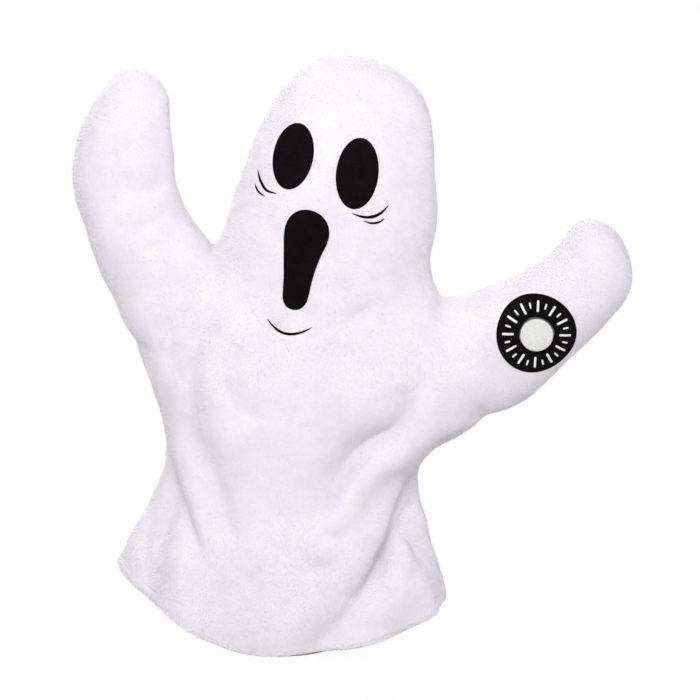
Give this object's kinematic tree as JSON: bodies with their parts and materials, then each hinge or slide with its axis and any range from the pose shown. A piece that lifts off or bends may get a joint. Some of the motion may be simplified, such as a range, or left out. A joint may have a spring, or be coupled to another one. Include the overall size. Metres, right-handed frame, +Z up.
{
  "type": "animated ghost figure",
  "caption": "Standing fleece ghost that sways on a round battery base, with a stuffed head, raised arms on push rods and a press button in one arm.",
  "frame": {"origin": "on the surface it stands on, under the middle of the round base", "axes": "+Z up, the face looks along -Y, +X is the figure's own left, towards which it leans at rest"},
  "size_m": [0.3084, 0.1063, 0.3297],
  "materials": {
    "fleece": "white short-pile fleece",
    "stuffing": "polyester fibre fill",
    "black_felt": "black printed felt",
    "white_disc": "white woven disc",
    "base_plastic": "black moulded plastic",
    "frame_plastic": "grey moulded plastic",
    "gear_plastic": "natural acetal",
    "steel": "plated steel",
    "cell_jacket": "plain printed jacket",
    "board": "green laminate",
    "speaker_paper": "black paper cone"
  },
  "bodies": {
    "base": {"base_tray": "base_plastic", "base_cover": "base_plastic", "battery_door": "base_plastic", "door_screw": "steel", "battery_cell_1": "cell_jacket", "battery_cell_2": "cell_jacket", "battery_cell_3": "cell_jacket", "cell_spring_1": "steel", "cell_spring_2": "steel", "cell_spring_3": "steel", "contact_plate_left": "steel", "contact_plate_right": "steel", "circuit_board": "board", "speaker": "speaker_paper", "power_switch": "steel", "gearbox_front_plate": "frame_plastic", "gearbox_back_plate": "frame_plastic", "gearbox_post_left": "frame_plastic", "gearbox_post_right": "frame_plastic", "hip_axle": "steel", "middle_shaft": "steel", "motor": "steel"},
    "torso": {"drive_plate": "frame_plastic", "torso_frame": "frame_plastic", "frame_spacer_left": "frame_plastic", "frame_spacer_right": "frame_plastic", "shoulder_pin_left": "steel", "shoulder_pin_right": "steel", "head_disc": "frame_plastic", "head_disc_screw": "steel", "head_stuffing": "stuffing", "torso_cover": "fleece", "right_eye_patch": "black_felt", "left_eye_patch": "black_felt", "mouth_patch": "black_felt"},
    "right_arm": {"right_arm_bone": "frame_plastic", "right_arm_plush": "fleece"},
    "left_arm": {"left_arm_bone": "frame_plastic", "left_arm_plush": "fleece", "press_switch": "frame_plastic", "press_ring": "black_felt"},
    "button": {"press_button": "white_disc"},
    "right_rod": {"right_push_rod": "frame_plastic"},
    "left_rod": {"left_push_rod": "frame_plastic"},
    "crank": {"crank_shaft": "gear_plastic", "output_gear": "gear_plastic"},
    "middle_gear": {"reduction_gear": "gear_plastic"},
    "worm": {"motor_worm": "gear_plastic", "motor_rotor": "steel"},
    "slider": {"switch_slider": "base_plastic"}
  },
  "joints": [
    {"name": "hip_sway", "type": "hinge", "parent": "base", "child": "torso", "pos_m": [0, 0, 0.044], "axis": [0, -1, 0], "range_deg": [0, 20]},
    {"name": "right_arm_turn", "type": "hinge", "parent": "torso", "child": "right_arm", "pos_m": [-0.06415, 0, 0.19849], "axis": [0, -1, 0], "range_deg": [0, 20]},
    {"name": "left_arm_turn", "type": "hinge", "parent": "torso", "child": "left_arm", "pos_m": [0.11312, 0, 0.16723], "axis": [0, -1, 0], "range_deg": [0, 20]},
    {"name": "right_rod_turn", "type": "hinge", "parent": "base", "child": "right_rod", "pos_m": [-0.018, 0, 0.044], "axis": [0, -1, 0], "range_deg": [0, 20]},
    {"name": "left_rod_turn", "type": "hinge", "parent": "base", "child": "left_rod", "pos_m": [0.018, 0, 0.044], "axis": [0, -1, 0], "range_deg": [0, 20]},
    {"name": "crank_turn", "type": "hinge", "parent": "base", "child": "crank", "pos_m": [0, 0, 0.07], "axis": [0, 1, 0], "continuous": true},
    {"name": "middle_gear_turn", "type": "hinge", "parent": "base", "child": "middle_gear", "pos_m": [0.01699, 0, 0.0615], "axis": [0, 1, 0], "continuous": true},
    {"name": "worm_turn", "type": "hinge", "parent": "base", "child": "worm", "pos_m": [0.02949, -0.0058, 0.0615], "axis": [0, 0, 1], "continuous": true},
    {"name": "press_slide", "type": "slide", "parent": "left_arm", "child": "button", "axis": [0, 1, 0], "range_m": [0, 0.0015], "stiffness_N_per_m": 400, "springref_m": -0.0008},
    {"name": "power_slide", "type": "slide", "parent": "base", "child": "slider", "axis": [1, 0, 0], "range_m": [0, 0.003]}
  ],
  "couplings": [
    {"joint": "right_arm_turn", "follows": "hip_sway", "ratio": 1},
    {"joint": "left_arm_turn", "follows": "hip_sway", "ratio": 1},
    {"joint": "right_rod_turn", "follows": "hip_sway", "ratio": 1},
    {"joint": "left_rod_turn", "follows": "hip_sway", "ratio": 1},
    {"joint": "middle_gear_turn", "follows": "crank_turn", "ratio": -2.8},
    {"joint": "worm_turn", "follows": "crank_turn", "ratio": -67.2}
  ]
}
